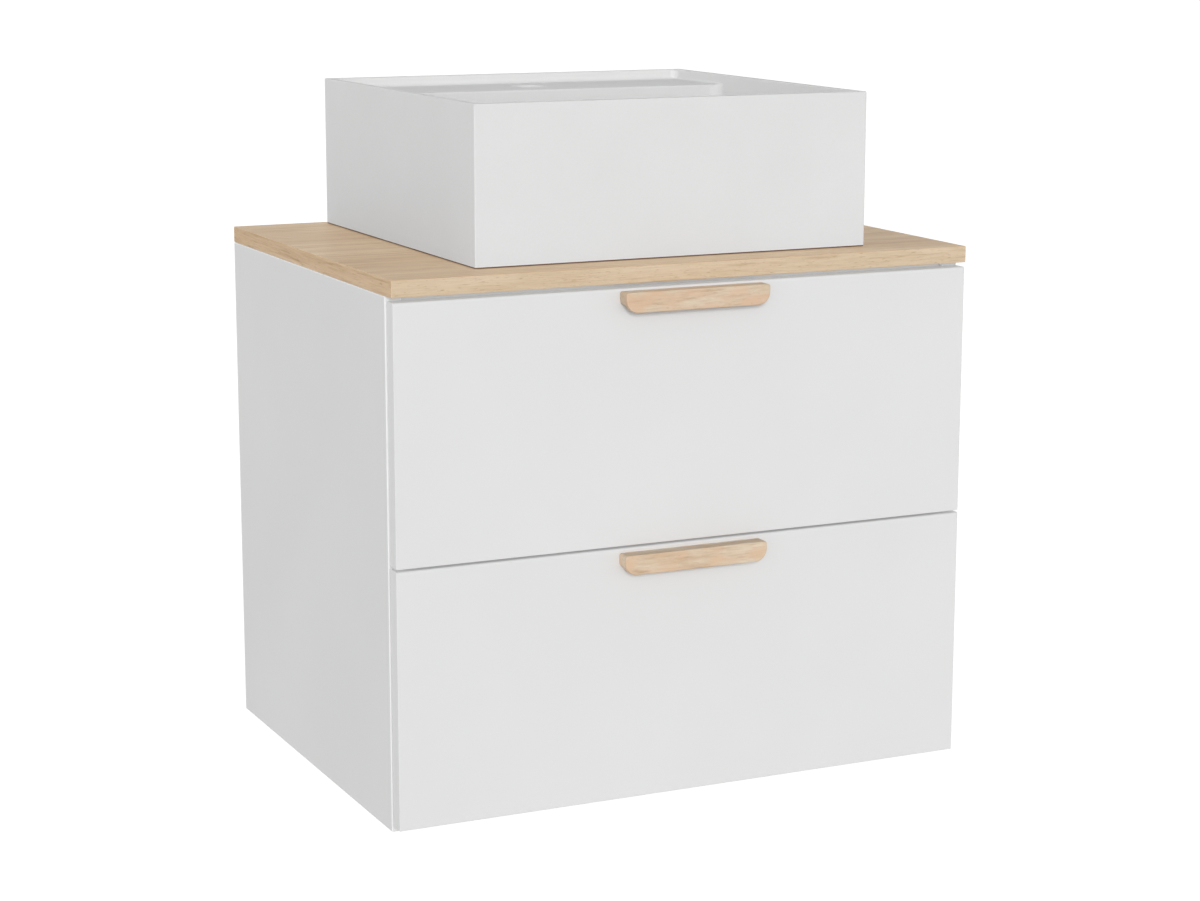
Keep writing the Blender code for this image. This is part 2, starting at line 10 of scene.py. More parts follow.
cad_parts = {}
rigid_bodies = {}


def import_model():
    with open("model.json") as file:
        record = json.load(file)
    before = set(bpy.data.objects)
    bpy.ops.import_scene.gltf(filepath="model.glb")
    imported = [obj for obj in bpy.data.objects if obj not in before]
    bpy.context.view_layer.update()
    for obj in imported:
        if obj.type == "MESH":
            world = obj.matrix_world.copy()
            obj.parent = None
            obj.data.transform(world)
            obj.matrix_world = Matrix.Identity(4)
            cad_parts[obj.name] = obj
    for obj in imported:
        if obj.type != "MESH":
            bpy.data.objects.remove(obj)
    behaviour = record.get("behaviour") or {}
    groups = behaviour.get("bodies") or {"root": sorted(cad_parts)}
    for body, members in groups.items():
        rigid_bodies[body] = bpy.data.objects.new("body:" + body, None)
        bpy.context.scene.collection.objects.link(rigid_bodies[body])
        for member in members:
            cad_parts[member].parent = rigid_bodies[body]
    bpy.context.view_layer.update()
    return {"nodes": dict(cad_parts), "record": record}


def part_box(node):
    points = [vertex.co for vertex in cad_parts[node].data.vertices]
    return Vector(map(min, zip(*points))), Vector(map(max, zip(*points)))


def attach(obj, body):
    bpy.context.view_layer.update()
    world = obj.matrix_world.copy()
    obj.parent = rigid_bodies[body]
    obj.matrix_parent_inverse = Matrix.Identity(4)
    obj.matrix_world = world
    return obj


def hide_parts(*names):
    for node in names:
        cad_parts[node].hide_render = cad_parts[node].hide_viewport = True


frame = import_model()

MM = 0.001

# The layout's origin is the worktop's front top edge, at its middle. mm: x right, y back, z up.
top_lo, top_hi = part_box("worktop")
ORIGIN = Vector(((top_lo.x + top_hi.x) / 2, top_lo.y, top_hi.z))
basin_lo, basin_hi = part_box("basin")
BX = ((basin_lo.x + basin_hi.x) / 2 - ORIGIN.x) / MM
WALL = (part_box("hanging_rail")[1].y - ORIGIN.y) / MM


def at(x, y, z):
    return ORIGIN + Vector((x, y, z)) * MM


def local(point):
    """A point of the frame in the layout's mm."""
    return (Vector(point) - ORIGIN) / MM


# =============================================================== camera, first
camera_data = bpy.data.cameras.new("camera")
camera_data.sensor_fit = "HORIZONTAL"
camera_data.sensor_width = 36.0
camera_data.lens = 81.688
camera_data.clip_start, camera_data.clip_end = 0.05, 60.0
camera = bpy.data.objects.new("camera", camera_data)
bpy.context.scene.collection.objects.link(camera)
right = Vector((0.90507, -0.42526, 0.00124))
down = Vector((-0.08273, -0.17894, -0.98037))
ahead = Vector((0.41714, 0.88720, -0.19714))
turn = Matrix((right, -down, -ahead)).transposed()
camera.matrix_world = Matrix.Translation(at(-1150.775, -2245.178, 328.328)) @ turn.to_4x4()
bpy.context.scene.camera = camera

# =============================================================== material helpers


class Nodes:
    """A short way to write node trees."""

    def __init__(self, name):
        self.mat = bpy.data.materials.new(name)
        self.mat.use_nodes = True
        self.tree = self.mat.node_tree
        self.bsdf = self.tree.nodes["Principled BSDF"]
        self.coords = self.tree.nodes.new("ShaderNodeTexCoord").outputs["Object"]

    def add(self, kind, **sockets):
        node = self.tree.nodes.new(kind)
        for key, value in sockets.items():
            self.put(node.inputs[key.replace("_", " ")], value)
        return node

    def put(self, socket, value):
        if isinstance(value, bpy.types.NodeSocket):
            self.tree.links.new(value, socket)
        else:
            socket.default_value = value

    def mapped(self, scale, offset=(0.0, 0.0, 0.0), rotation=(0.0, 0.0, 0.0), source=None):
        node = self.add("ShaderNodeMapping")
        self.put(node.inputs["Vector"], source or self.coords)
        node.inputs["Scale"].default_value = scale
        node.inputs["Location"].default_value = offset
        node.inputs["Rotation"].default_value = rotation
        return node.outputs["Vector"]

    def noise(self, vector, scale=1.0, detail=3.0, roughness=0.5, distortion=0.0):
        node = self.add("ShaderNodeTexNoise")
        self.put(node.inputs["Vector"], vector)
        node.inputs["Scale"].default_value = scale
        node.inputs["Detail"].default_value = detail
        node.inputs["Roughness"].default_value = roughness
        node.inputs["Distortion"].default_value = distortion
        return node.outputs["Fac"]

    def remap(self, value, a, b, c, d, smooth=False):
        node = self.add("ShaderNodeMapRange")
        if smooth:
            node.interpolation_type = "SMOOTHSTEP"
        self.put(node.inputs["Value"], value)
        for key, number in (("From Min", a), ("From Max", b), ("To Min", c), ("To Max", d)):
            node.inputs[key].default_value = number
        return node.outputs["Result"]

    def math(self, operation, a, b=0.0):
        node = self.add("ShaderNodeMath")
        node.operation = operation
        self.put(node.inputs[0], a)
        self.put(node.inputs[1], b)
        return node.outputs[0]

    def mix(self, factor, a, b, blend="MIX"):
        node = self.tree.nodes.new("ShaderNodeMix")
        node.data_type = "RGBA"
        node.blend_type = blend
        self.put(node.inputs[0], factor)
        self.put(node.inputs[6], (*a, 1.0) if isinstance(a, tuple) and len(a) == 3 else a)
        self.put(node.inputs[7], (*b, 1.0) if isinstance(b, tuple) and len(b) == 3 else b)
        return node.outputs[2]

    def bump(self, height, strength, distance, normal=None):
        node = self.add("ShaderNodeBump")
        self.put(node.inputs["Height"], height)
        node.inputs["Strength"].default_value = strength
        node.inputs["Distance"].default_value = distance
        if normal is not None:
            self.put(node.inputs["Normal"], normal)
        return node.outputs["Normal"]

    def finish(self, color, roughness, normal=None, metallic=0.0, specular=0.5, coat=0.0, coat_roughness=0.1):
        self.put(self.bsdf.inputs["Base Color"], color if isinstance(color, bpy.types.NodeSocket) else (*color, 1.0))
        self.put(self.bsdf.inputs["Roughness"], roughness)
        self.bsdf.inputs["Metallic"].default_value = metallic
        self.bsdf.inputs["Specular IOR Level"].default_value = specular
        self.bsdf.inputs["Coat Weight"].default_value = coat
        self.bsdf.inputs["Coat Roughness"].default_value = coat_roughness
        if normal is not None:
            self.put(self.bsdf.inputs["Normal"], normal)
        return self.mat


def srgb(r, g, b):
    """8-bit display colour to linear."""
    return tuple(c / 12.92 / 255 if c <= 10.31 else ((c / 255 + 0.055) / 1.055) ** 2.4 for c in (r, g, b))


def white_paint(name, base=0.80, rough=0.38, grain=900.0, relief=0.03, tint=(1.0, 1.0, 1.0)):
    """Sprayed matt lacquer: faint cloudiness and a very fine orange peel."""
    n = Nodes(name)
    cloud = n.noise(n.mapped((6.0, 6.0, 6.0)), detail=3.0)
    fine = n.noise(n.mapped((grain, grain, grain)), detail=2.0, roughness=0.6)
    peel = n.noise(n.mapped((220.0, 220.0, 220.0)), detail=1.0)
    low = tuple(base * 0.985 * t for t in tint)
    high = tuple(base * 1.01 * t for t in tint)
    color = n.mix(n.remap(cloud, 0.3, 0.7, 0.0, 1.0), low, high)
    color = n.mix(n.remap(fine, 0.35, 0.65, 0.0, 0.10), color, tuple(base * 0.93 * t for t in tint))
    roughness = n.remap(cloud, 0.3, 0.7, rough - 0.03, rough + 0.03)
    normal = n.bump(peel, relief, 0.0004)
    normal = n.bump(fine, relief * 1.5, 0.0001, normal)
    return n.finish(color, roughness, normal, specular=0.45)


def wood(name, axis, light, dark, deep, seed, across=1.0, along=1.0, contrast=1.0, pores=1.0, wander=1.0, rough=0.48, relief=0.12, specular=0.30, warm=None):
    """Light oak or beech: the grain runs along `axis`, in the piece's own space.

    Layers, from wide to fine: boards' tone, growth bands, streaks, fibres and short open pores.
    """
    n = Nodes(name)
    turn_to_x = {"X": (0, 0, 0), "Y": (0, 0, math.radians(90)), "Z": (0, math.radians(90), 0)}[axis]
    grainwise = n.mapped((1.0, 1.0, 1.0), offset=(seed * 1.37, seed * 0.61, seed * 0.29), rotation=turn_to_x)
    drift = n.noise(n.mapped((2.4, 8.0, 8.0), source=grainwise), detail=2.0)
    shift = n.tree.nodes.new("ShaderNodeVectorMath")
    shift.operation = "MULTIPLY_ADD"
    combine = n.tree.nodes.new("ShaderNodeCombineXYZ")
    n.put(combine.inputs["Y"], n.math("SUBTRACT", drift, 0.5))
    n.put(combine.inputs["Z"], n.math("SUBTRACT", drift, 0.5))
    n.put(shift.inputs[0], combine.outputs[0])
    shift.inputs[1].default_value = (0.0, 0.030 * wander, 0.030 * wander)
    n.put(shift.inputs[2], grainwise)
    field = shift.outputs[0]

    def grain(run, cross, detail=3.0, roughness=0.55):
        return n.noise(n.mapped((run * along, cross * across, cross * across), source=field), detail=detail, roughness=roughness)

    tone = grain(2.2, 17.0, 2.0)
    bands = grain(3.2, 62.0, 3.0, 0.6)
    streaks = grain(7.0, 190.0, 4.0, 0.65)
    fibres = grain(20.0, 620.0, 3.0, 0.7)
    vessel = grain(60.0, 1050.0, 1.0)
    mixed = n.math("ADD", n.math("MULTIPLY", tone, 0.30), n.math("ADD", n.math("MULTIPLY", bands, 0.38), n.math("MULTIPLY", streaks, 0.32)))
    reach = 0.115 / contrast
    color = n.mix(n.remap(mixed, 0.5 - reach, 0.5 + reach, 0.0, 1.0), light, dark)
    color = n.mix(n.remap(streaks, 0.54, 0.74, 0.0, 0.50 * contrast, True), color, deep)
    color = n.mix(n.remap(bands, 0.60, 0.74, 0.0, 0.35 * contrast, True), color, deep)
    color = n.mix(n.remap(fibres, 0.46, 0.74, 0.0, 0.30 * contrast), color, deep)
    color = n.mix(n.remap(fibres, 0.26, 0.44, 0.22 * contrast, 0.0), color, tuple(min(1.0, c * 1.10) for c in light))
    if warm:
        blush = n.noise(n.mapped((26.0, 60.0, 60.0), offset=(seed, 0.0, 4.0)), detail=2.0)
        color = n.mix(n.remap(blush, 0.44, 0.66, 0.0, 0.8, True), color, warm)
    dash = n.remap(vessel, 0.63, 0.73, 0.0, 0.50 * pores, True)
    color = n.mix(dash, color, deep)
    roughness = n.remap(streaks, 0.3, 0.7, rough - 0.05, rough + 0.07)
    normal = n.bump(fibres, relief * 0.6, 0.0002)
    normal = n.bump(n.math("SUBTRACT", 1.0, dash), relief, 0.00025, normal)
    return n.finish(color, roughness, normal, specular=specular)


def metal(name, color, rough, brushed=None, relief=0.05):
    n = Nodes(name)
    scale = {None: (300.0, 300.0, 300.0), "X": (20.0, 1500.0, 1500.0), "Y": (1500.0, 20.0, 1500.0), "Z": (1500.0, 1500.0, 20.0)}[brushed]
    lines = n.noise(n.mapped(scale), detail=3.0, roughness=0.6)
    cloud = n.noise(n.mapped((40.0, 40.0, 40.0)), detail=3.0)
    tone = n.mix(n.remap(cloud, 0.3, 0.7, 0.0, 1.0), tuple(c * 0.93 for c in color), color)
    tone = n.mix(n.remap(lines, 0.4, 0.7, 0.0, 0.25), tone, tuple(c * 0.8 for c in color))
    roughness = n.remap(lines, 0.3, 0.7, max(0.02, rough - 0.05), rough + 0.07)
    return n.finish(tone, roughness, n.bump(lines, relief, 0.00005), metallic=1.0)


def moulded(name, color, rough, relief=0.04, grain=1400.0):
    """Moulded plastic or rubber with a fine tool texture."""
    n = Nodes(name)
    cloud = n.noise(n.mapped((30.0, 30.0, 30.0)), detail=2.0)
    fine = n.noise(n.mapped((grain, grain, grain)), detail=2.0)
    tone = n.mix(n.remap(cloud, 0.3, 0.7, 0.0, 1.0), tuple(c * 0.96 for c in color), color)
    roughness = n.remap(fine, 0.3, 0.7, rough - 0.05, rough + 0.05)
    return n.finish(tone, roughness, n.bump(fine, relief, 0.0001))


def cast_mineral(name):
    """White cast mineral: a dense satin gel coat with barely visible cloudiness."""
    n = Nodes(name)
    cloud = n.noise(n.mapped((11.0, 11.0, 11.0)), detail=4.0, roughness=0.55)
    speck = n.noise(n.mapped((420.0, 420.0, 420.0)), detail=3.0, roughness=0.6)
    fine = n.noise(n.mapped((1200.0, 1200.0, 1200.0)), detail=2.0)
    color = n.mix(n.remap(cloud, 0.3, 0.7, 0.0, 1.0), (0.772, 0.770, 0.768), (0.792, 0.792, 0.792))
    color = n.mix(n.remap(speck, 0.45, 0.75, 0.0, 0.16), color, (0.72, 0.72, 0.715))
    roughness = n.remap(speck, 0.3, 0.7, 0.40, 0.50)
    normal = n.bump(fine, 0.02, 0.0001)
    return n.finish(color, roughness, normal, specular=0.4)


LACQUER = white_paint("lacquer_white")
LACQUER_SIDE = white_paint("lacquer_side", base=0.80)
# Brighter, glossier white: a painted highlight for the side panels' arrises.
LACQUER_PAINTED_HIGHLIGHT = white_paint("lacquer_painted_highlight", base=0.92, rough=0.30)
MELAMINE = white_paint("melamine_white", base=0.76, rough=0.50, grain=1500.0, relief=0.06, tint=(1.0, 0.998, 0.99))
OAK_TOP = wood("oak_laminate_top", "X", srgb(240, 211, 172), srgb(221, 186, 144), srgb(184, 145, 102), 3.1, contrast=1.1, across=1.15, rough=0.42, specular=0.27)
OAK_FRONT = wood("oak_band_front", "X", srgb(226, 205, 178), srgb(211, 187, 156), srgb(184, 154, 119), 7.7, across=1.3, along=2.2, pores=1.4, wander=0.5)
OAK_END = wood("oak_band_end", "Y", srgb(227, 199, 165), srgb(208, 176, 138), srgb(170, 134, 96), 12.3, across=1.6, along=1.4, contrast=1.2, pores=1.2, wander=0.6)
GRIP_UPPER = wood("beech_grip_upper", "X", srgb(228, 212, 190), srgb(213, 188, 158), srgb(188, 154, 122), 21.9, along=3.0, across=0.8, contrast=1.3, pores=0.5, wander=0.6, rough=0.44, warm=srgb(224, 190, 160))
GRIP_LOWER = wood("beech_grip_lower", "X", srgb(229, 212, 189), srgb(214, 188, 158), srgb(190, 156, 123), 34.2, along=3.0, across=0.8, contrast=1.3, pores=0.5, wander=0.6, rough=0.44, warm=srgb(225, 192, 160))
MINERAL = cast_mineral("cast_mineral_white")
STEEL = metal("zinc_steel", (0.62, 0.63, 0.64), 0.32, brushed="Y")
STEEL_PLAIN = metal("zinc_steel_plain", (0.62, 0.63, 0.64), 0.34)
CHROME = metal("polished_chrome", (0.80, 0.81, 0.82), 0.07, relief=0.01)
PLASTIC = moulded("white_plastic", (0.80, 0.80, 0.79), 0.30)
RUBBER = moulded("black_rubber", (0.030, 0.030, 0.030), 0.65, relief=0.10)
# Dark brown: painted shade for the joint line at the foot of the basin.
JOINT_PAINTED_SHADE = moulded("joint_painted_shade", (0.170, 0.070, 0.028), 0.75, relief=0.10)
# Real foam gasket, coloured dark brown as painted shade for the joint line.
GASKET_PAINTED_SHADE = moulded("gasket_painted_shade_brown", (0.190, 0.095, 0.045), 0.80, relief=0.20, grain=900.0)

# =============================================================== mesh helpers
BODY = {node: name for name, nodes in frame["record"]["behaviour"]["bodies"].items() for node in nodes}


def baked(obj):
    """Applies an object's modifiers to its mesh."""
    graph = bpy.context.evaluated_depsgraph_get()
    mesh = bpy.data.meshes.new_from_object(obj.evaluated_get(graph))
    obj.modifiers.clear()
    obj.data = mesh
    return obj


def loose(name, bm, place=(0, 0, 0)):
    """An object from a bmesh in mm, laid out about `place`."""
    bmesh.ops.recalc_face_normals(bm, faces=bm.faces)
    bmesh.ops.scale(bm, vec=(MM, MM, MM), verts=bm.verts)
    mesh = bpy.data.meshes.new(name)
    bm.to_mesh(mesh)
    bm.free()
    obj = bpy.data.objects.new(name, mesh)
    bpy.context.scene.collection.objects.link(obj)
    obj.location = at(*place)
    bpy.context.view_layer.update()
    return obj


def carve(obj, *cutters, operation="DIFFERENCE"):
    for tool in cutters:
        step = obj.modifiers.new("cut", "BOOLEAN")
        step.solver = "EXACT"
        step.operation = operation
        step.object = tool
    baked(obj)
    for tool in cutters:
        bpy.data.objects.remove(tool, do_unlink=True)
    return obj


def bevel(obj, width, segments=3, angle=30.0, weight=False):
    step = obj.modifiers.new("bevel", "BEVEL")
    step.width = width * MM
    step.segments = segments
    step.use_clamp_overlap = not weight
    step.limit_method = "WEIGHT" if weight else "ANGLE"
    step.angle_limit = math.radians(angle)
    return baked(obj)


def dress(obj, node, material, sharp=42.0, replaces=None):
    """Smooths, weights the normals, sets the finish and hangs the piece on its body."""
    mesh = obj.data
    if not mesh.materials:
        mesh.materials.append(material)
    mesh.shade_smooth()
    mesh.set_sharp_from_angle(angle=math.radians(sharp))
    step = obj.modifiers.new("weighted_normals", "WEIGHTED_NORMAL")
    step.keep_sharp = True
    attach(obj, BODY[node])
    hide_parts(*(replaces or [node]))
    return obj


def solid_of(node, centre=None):
    """The CAD node's solid as a bmesh in mm about its box's middle, with its flat faces made whole again."""
    lo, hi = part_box(node)
    middle = (lo + hi) / 2
    bm = bmesh.new()
    bm.from_mesh(frame["nodes"][node].data)
    bmesh.ops.translate(bm, vec=-middle, verts=bm.verts)
    bmesh.ops.scale(bm, vec=(1 / MM,) * 3, verts=bm.verts)
    bmesh.ops.remove_doubles(bm, verts=bm.verts, dist=0.01)
    bmesh.ops.dissolve_limit(bm, angle_limit=math.radians(1.0), verts=bm.verts, edges=bm.edges)
    return bm, tuple(local(middle))


def refined(node, material, width=0.5, segments=2, sharp=42.0):
    """A board or folded part: the CAD solid with its edges eased."""
    bm, middle = solid_of(node)
    obj = loose(node + "_fine", bm, middle)
    bevel(obj, width, segments)
    return dress(obj, node, material, sharp)


def box_bm(x, y, z):
    bm = bmesh.new()
    bmesh.ops.create_cube(bm, size=1.0)
    bmesh.ops.scale(bm, vec=(x[1] - x[0], y[1] - y[0], z[1] - z[0]), verts=bm.verts)
    bmesh.ops.translate(bm, vec=((x[0] + x[1]) / 2, (y[0] + y[1]) / 2, (z[0] + z[1]) / 2), verts=bm.verts)
    return bm


def rounded(a0, a1, b0, b1, radii, steps):
    corners = [(a0, b0, 180), (a1, b0, 270), (a1, b1, 0), (a0, b1, 90)]
    points = []
    for (a, b, start), r in zip(corners, radii):
        if r <= 0:
            points.append((a, b))
            continue
        ca = a + r if a == a0 else a - r
        cb = b + r if b == b0 else b - r
        for i in range(steps + 1):
            t = math.radians(start + 90 * i / steps)
            points.append((ca + r * math.cos(t), cb + r * math.sin(t)))
    return points


def prism_bm(outline, low, high, axis="Z"):
    put = {"Z": lambda a, b, c: (a, b, c), "X": lambda a, b, c: (c, a, b), "Y": lambda a, b, c: (a, c, b)}[axis]
    bm = bmesh.new()
    face = bm.faces.new([bm.verts.new(put(a, b, low)) for a, b in outline])
    grown = bmesh.ops.extrude_face_region(bm, geom=[face])
    moved = [v for v in grown["geom"] if isinstance(v, bmesh.types.BMVert)]
    bmesh.ops.translate(bm, vec=put(0.0, 0.0, high - low), verts=moved)
    bmesh.ops.recalc_face_normals(bm, faces=bm.faces)
    return bm


def turned_bm(profile, axis="Z", segments=96, wave=None):
    """Closed profile of (radius, height) turned about an axis. wave(angle, radius, height) may change a radius."""
    bm = bmesh.new()
    rings = []
    for r, h in profile:
        if r <= 1e-6:
            rings.append([bm.verts.new((0, 0, h))])
            continue
        ring = []
        for i in range(segments):
            t = 2 * math.pi * i / segments
            rr = wave(t, r, h) if wave else r
            ring.append(bm.verts.new((rr * math.cos(t), rr * math.sin(t), h)))
        rings.append(ring)
    for k in range(len(rings)):
        one, two = rings[k], rings[(k + 1) % len(rings)]
        if len(one) == 1 and len(two) == 1:
            continue
        for i in range(segments):
            j = (i + 1) % segments
            if len(one) == 1:
                bm.faces.new((one[0], two[j], two[i]))
            elif len(two) == 1:
                bm.faces.new((one[i], one[j], two[0]))
            else:
                bm.faces.new((one[i], one[j], two[j], two[i]))
    if axis == "Y":
        bmesh.ops.rotate(bm, cent=(0, 0, 0), matrix=Matrix.Rotation(math.radians(-90), 3, "X"), verts=bm.verts)
    return bm


def eased(profile, radius=0.5, steps=3, keep=()):
    """Rounds the corners of a closed (radius, height) profile, but not those on the axis or listed in keep."""
    out = []
    count = len(profile)
    for k, here in enumerate(profile):
        before, after = Vector(profile[k - 1]), Vector(profile[(k + 1) % count])
        p = Vector(here)
        if here[0] <= 1e-6 or k in keep:
            out.append(here)
            continue
        u, v = before - p, after - p
        reach = min(radius, u.length * 0.45, v.length * 0.45)
        u.normalize()
        v.normalize()
        if abs(u.dot(v)) > 0.999 or reach < 1e-3:
            out.append(here)
            continue
        a, b = p + u * reach, p + v * reach
        for i in range(steps + 1):
            t = i / steps
            q = a * (1 - t) ** 2 + p * 2 * t * (1 - t) + b * t * t
            out.append((q.x, q.y))
    return out


def cylinder(place, radius, low, high, axis="Z", segments=64):
    bm = turned_bm([(0, low), (radius, low), (radius, high), (0, high)], axis, segments)
    return loose("tool", bm, place)


# =============================================================== carcass boards
for side in ("left", "right"):
    panel = refined(f"side_panel_{side}", LACQUER_SIDE, width=0.9, segments=4)
    # painted highlight: the side panels' arris and top-edge bevel faces take a brighter, glossier lacquer in place of
    # the edge highlight
    panel.data.materials.append(LACQUER_PAINTED_HIGHLIGHT)
    for face in panel.data.polygons:
        if face.normal.y < -0.12 and abs(face.normal.x) > 0.12 or face.normal.z > 0.12 and abs(face.normal.x) > 0.12:
            face.material_index = 1
for node in ("bottom_panel", "front_rail", "hanging_rail", "lower_back_rail"):
    refined(node, MELAMINE, width=0.5)

for level in ("upper", "lower"):
    for side in ("left", "right"):
        refined(f"{level}_drawer_side_{side}", MELAMINE, width=0.8)
    refined(f"{level}_drawer_bottom", MELAMINE, width=0.4)
refined("lower_drawer_back", MELAMINE, width=0.8)
for node in (
    "upper_drawer_back_left",
    "upper_drawer_back_right",
    "upper_siphon_wall_left",
    "upper_siphon_wall_right",
    "upper_siphon_wall_front",
):
    refined(node, MELAMINE, width=0.8)

# =============================================================== worktop
size = local(top_hi) - local(top_lo)
top_mid = tuple(local((top_lo + top_hi) / 2))
top_obj = loose("worktop_fine", box_bm((-size.x / 2, size.x / 2), (-size.y / 2, size.y / 2), (-size.z / 2, size.z / 2)), top_mid)
bevel(top_obj, 0.7, 3)
DRAIN_Y, TAP_Y = 200.0, 386.0
carve(top_obj, cylinder((BX, DRAIN_Y, 0), 25.0, -30, 10), cylinder((BX, TAP_Y, 0), 22.5, -30, 10))
for material in (OAK_TOP, OAK_FRONT, OAK_END):
    top_obj.data.materials.append(material)
for face in top_obj.data.polygons:
    face.material_index = 1 if abs(face.normal.y) > 0.9 else 2 if abs(face.normal.x) > 0.9 else 0
dress(top_obj, "worktop", OAK_TOP)
# Soft fill reaches the narrow gap under the worktop: bounced light passes it.
top_obj.visible_diffuse = False

# =============================================================== drawer fronts and grips
SCREW_X, SCREW_DROP = 66.0, 8.5


def drawer_front(level):
    node = f"{level}_drawer_front"
    lo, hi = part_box(node)
    half = (local(hi) - local(lo)) / 2
    middle = tuple(local((lo + hi) / 2))
    bm = box_bm((-half.x, half.x), (-half.y, half.y), (-half.z, half.z))
    weights = bm.edges.layers.float.new("bevel_weight_edge")
    for edge in bm.edges:
        a, b = (vert.co for vert in edge.verts)
        upper_arris = a.z > 0 and b.z > 0 and a.y < 0 and b.y < 0
        edge[weights] = 1.0 if upper_arris else 0.3
    obj = loose(node + "_fine", bm, middle)
    bevel(obj, 2.2, 6, weight=True)
    grip_top = local(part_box(f"{level}_handle")[1]).z
    carve(obj, *[cylinder((s * SCREW_X, 0, grip_top - SCREW_DROP), 2.3, -5, 25, "Y", 24) for s in (-1, 1)])
    dress(obj, node, LACQUER)
    obj.visible_diffuse = level != "upper"


def grip(level, material):
    node = f"{level}_handle"
    lo, hi = local(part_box(node)[0]), local(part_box(node)[1])
    half = (hi.x - lo.x) / 2
    height = hi.z - lo.z
    outline = rounded(-half, half, -height, 0.0, [12.0, 12.0, 2.5, 2.5], 12)
    bm = prism_bm(outline, lo.y, hi.y, "Y")
    weights = bm.edges.layers.float.new("bevel_weight_edge")
    for edge in bm.edges:
        if all(abs(v.co.y - lo.y) < 1e-3 for v in edge.verts):
            edge[weights] = 1.0
    obj = loose(node + "_fine", bm, (0, 0, hi.z))
    bevel(obj, 1.1, 4, weight=True)
    groove = prism_bm(rounded(-56.0, 56.0, -height - 5, -6.0, [0, 0, 6.0, 6.0], 8), lo.y + 7.0, 5.0, "Y")
    undercut = box_bm((-half - 5, half + 5), (lo.y + 7.0, 5.0), (-height - 5, -12.0))
    tools = [loose("tool", groove, (0, 0, hi.z)), loose("tool", undercut, (0, 0, hi.z))]
    tools += [cylinder((s * SCREW_X, 0, hi.z - SCREW_DROP), 2.3, -11, 5, "Y", 24) for s in (-1, 1)]
    carve(obj, *tools)
    dress(obj, node, material, sharp=35.0)


def handle_screw(node):
    lo, hi = local(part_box(node)[0]), local(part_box(node)[1])
    x, z = (lo.x + hi.x) / 2, (lo.z + hi.z) / 2
    y0, y1 = lo.y, hi.y
    profile = [(0, y0), (1.4, y0 + 0.8), (2.0, y0 + 2.2), (2.0, y1 - 2.3), (4.2, y1 - 2.3), (4.2, y1 - 1.6), (3.3, y1 - 0.5), (1.8, y1), (0, y1)]

    body = loose(node + "_fine", turned_bm(eased(profile, 0.3, 2, keep=(0, 8)), "Y", 32), (x, 0, z))
    cross = [loose("tool", box_bm((-2.2, 2.2), (y1 - 1.3, y1 + 2), (-0.45, 0.45)), (x, 0, z)),
             loose("tool", box_bm((-0.45, 0.45), (y1 - 1.3, y1 + 2), (-2.2, 2.2)), (x, 0, z))]
    carve(body, *cross)
    dress(body, node, STEEL_PLAIN, sharp=35.0)


for level, material in (("upper", GRIP_UPPER), ("lower", GRIP_LOWER)):
    drawer_front(level)
    grip(level, material)
    for side in ("left", "right"):
        handle_screw(f"{level}_handle_screw_{side}")

# =============================================================== basin
B_LO, B_HI = local(basin_lo), local(basin_hi)
B_LO_WORLD = basin_lo.z


